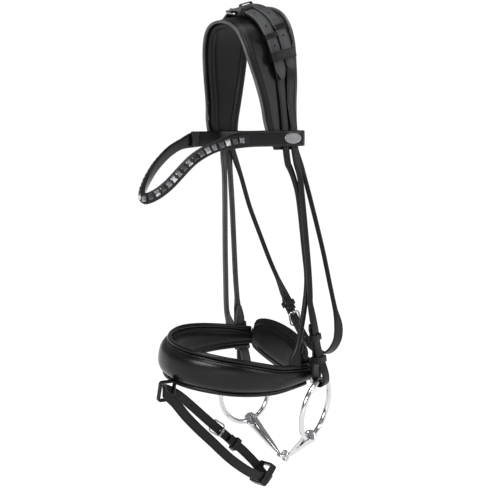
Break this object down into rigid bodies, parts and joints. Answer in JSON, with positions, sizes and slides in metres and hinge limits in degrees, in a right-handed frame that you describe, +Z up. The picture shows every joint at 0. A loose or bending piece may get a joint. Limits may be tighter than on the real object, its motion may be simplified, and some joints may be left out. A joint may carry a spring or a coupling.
{
  "type": "snaffle bridle",
  "caption": "Padded snaffle bridle with pointed crystal browband, sliphead and cheek straps, crank noseband with flash, throatlash and a jointed hollow-mouth loose ring bit.",
  "frame": {"origin": "underside of the headpiece at the top of the poll, midway between the two sides", "axes": "+Z up, -Y towards the horse's nose, +X towards the horse's left (near) side"},
  "size_m": [0.1695, 0.2435, 0.5607],
  "materials": {
    "bridle_leather": "satin black bridle leather",
    "padded_leather": "glossy soft black leather over padding",
    "lining_leather": "soft matt black lining",
    "piping_leather": "glossy black piping",
    "buckle_steel": "polished stainless steel",
    "bit_steel": "polished stainless steel",
    "setting_metal": "bright setting",
    "stone_glass": "cut glass",
    "badge_metal": "satin metal, plain"
  },
  "bodies": {
    "headstall": {"headpiece_padding": "lining_leather", "headpiece_leather": "padded_leather", "headpiece_piping": "piping_leather", "noseband_sliphead": "bridle_leather", "cheek_strap_far": "bridle_leather", "noseband_hanger_near": "bridle_leather", "cheek_strap_near": "bridle_leather", "poll_buckle_front_frame": "buckle_steel", "poll_buckle_rear_frame": "buckle_steel", "poll_keeper_front_fixed": "bridle_leather", "poll_keeper_rear_fixed": "bridle_leather", "poll_keeper_front": "bridle_leather", "poll_keeper_rear": "bridle_leather", "billet_keeper_near_upper": "bridle_leather", "billet_keeper_near_lower": "bridle_leather", "billet_keeper_far_upper": "bridle_leather", "billet_keeper_far_lower": "bridle_leather", "hook_stud_near": "buckle_steel", "hook_stud_far": "buckle_steel", "noseband_lining": "lining_leather", "noseband_leather": "bridle_leather", "noseband_pad": "padded_leather", "noseband_rolls": "piping_leather", "noseband_slot_near": "buckle_steel", "noseband_slot_far": "buckle_steel", "chin_pad": "padded_leather", "chin_pad_cushion": "lining_leather", "crank_buckle_frame": "buckle_steel", "crank_strap": "bridle_leather", "crank_chape": "bridle_leather", "crank_keeper": "bridle_leather", "flash_loop": "bridle_leather"},
    "browband": {"browband_leather": "padded_leather", "browband_channel": "setting_metal", "browband_stones": "stone_glass", "browband_badge": "badge_metal"},
    "throatlash": {"throatlash_near": "bridle_leather", "throatlash_far": "bridle_leather", "throatlash_buckle_frame": "buckle_steel", "throatlash_keeper": "bridle_leather"},
    "flash": {"flash_buckle_frame": "buckle_steel", "flash_strap": "bridle_leather", "flash_end_keeper": "bridle_leather"},
    "flash_slider": {"flash_keeper": "bridle_leather"},
    "poll_slider": {"poll_keeper_wide": "bridle_leather"},
    "front_tongue": {"poll_buckle_front_tongue": "buckle_steel"},
    "rear_tongue": {"poll_buckle_rear_tongue": "buckle_steel"},
    "throat_tongue": {"throatlash_buckle_tongue": "buckle_steel"},
    "crank_tongue": {"crank_buckle_tongue": "buckle_steel"},
    "flash_tongue": {"flash_buckle_tongue": "buckle_steel"},
    "near_ring": {"bit_ring_near": "bit_steel"},
    "near_arm": {"bit_arm_near": "bit_steel"},
    "far_ring": {"bit_ring_far": "bit_steel"},
    "far_arm": {"bit_arm_far": "bit_steel"}
  },
  "joints": [
    {"name": "browband_shift", "type": "slide", "parent": "headstall", "child": "browband", "axis": [0, 0, 1], "range_m": [-0.003, 0.003]},
    {"name": "throatlash_swing", "type": "hinge", "parent": "headstall", "child": "throatlash", "pos_m": [0, 0.019, -0.14], "axis": [1, 0, 0], "range_deg": [-3, 8]},
    {"name": "flash_swing", "type": "hinge", "parent": "headstall", "child": "flash", "pos_m": [-0.0028, -0.1124, -0.4152], "axis": [1, 0, 0], "range_deg": [-12, 3]},
    {"name": "flash_keeper_slide", "type": "slide", "parent": "flash", "child": "flash_slider", "axis": [-0.0983, -0.7241, 0.6826], "range_m": [-0.002, 0.002]},
    {"name": "poll_keeper_slide", "type": "slide", "parent": "headstall", "child": "poll_slider", "axis": [-0.1707, -0.216, 0.9613], "range_m": [-0.002, 0.002]},
    {"name": "front_tongue_lift", "type": "hinge", "parent": "headstall", "child": "front_tongue", "pos_m": [0.00437, -0.01797, 0.00799], "axis": [0.0046, 0.9678, 0.2518], "range_deg": [0, 3]},
    {"name": "rear_tongue_lift", "type": "hinge", "parent": "headstall", "child": "rear_tongue", "pos_m": [-0.01889, 0.00113, 0.01025], "axis": [0.0221, 0.9698, 0.2427], "range_deg": [0, 3]},
    {"name": "throat_tongue_lift", "type": "hinge", "parent": "throatlash", "child": "throat_tongue", "pos_m": [-0.02024, 0.07769, -0.34107], "axis": [-0.0841, 0.9863, 0.1419], "range_deg": [0, 3]},
    {"name": "crank_tongue_lift", "type": "hinge", "parent": "headstall", "child": "crank_tongue", "pos_m": [0.00474, 0.0586, -0.38475], "axis": [0.2764, 0.0057, 0.961], "range_deg": [0, 3]},
    {"name": "flash_tongue_lift", "type": "hinge", "parent": "flash", "child": "flash_tongue", "pos_m": [-0.02143, -0.02414, -0.47389], "axis": [0.1471, -0.6133, -0.776], "range_deg": [0, 3]},
    {"name": "near_ring_tilt", "type": "hinge", "parent": "headstall", "child": "near_ring", "pos_m": [0.07336, 0.04747, -0.40727], "axis": [0, 1, 0], "range_deg": [-2.3, 2.7]},
    {"name": "near_arm_fold", "type": "hinge", "parent": "near_ring", "child": "near_arm", "pos_m": [0.06064, 0.04053, -0.47473], "axis": [0, 1, 0], "range_deg": [-8.5, 7.3]},
    {"name": "far_ring_tilt", "type": "hinge", "parent": "headstall", "child": "far_ring", "pos_m": [-0.073, 0.043, -0.4085], "axis": [0, 1, 0], "range_deg": [-2.8, 2.4]},
    {"name": "far_arm_fold", "type": "hinge", "parent": "far_ring", "child": "far_arm", "pos_m": [-0.073, 0.0528, -0.47608], "axis": [0, 1, 0], "range_deg": [-6.8, 8]}
  ],
  "couplings": [
    {"joint": "near_arm_fold", "follows": "near_ring_tilt", "ratio": -3.1},
    {"joint": "far_ring_tilt", "follows": "near_ring_tilt", "ratio": -1},
    {"joint": "far_arm_fold", "follows": "near_ring_tilt", "ratio": 2.9}
  ]
}
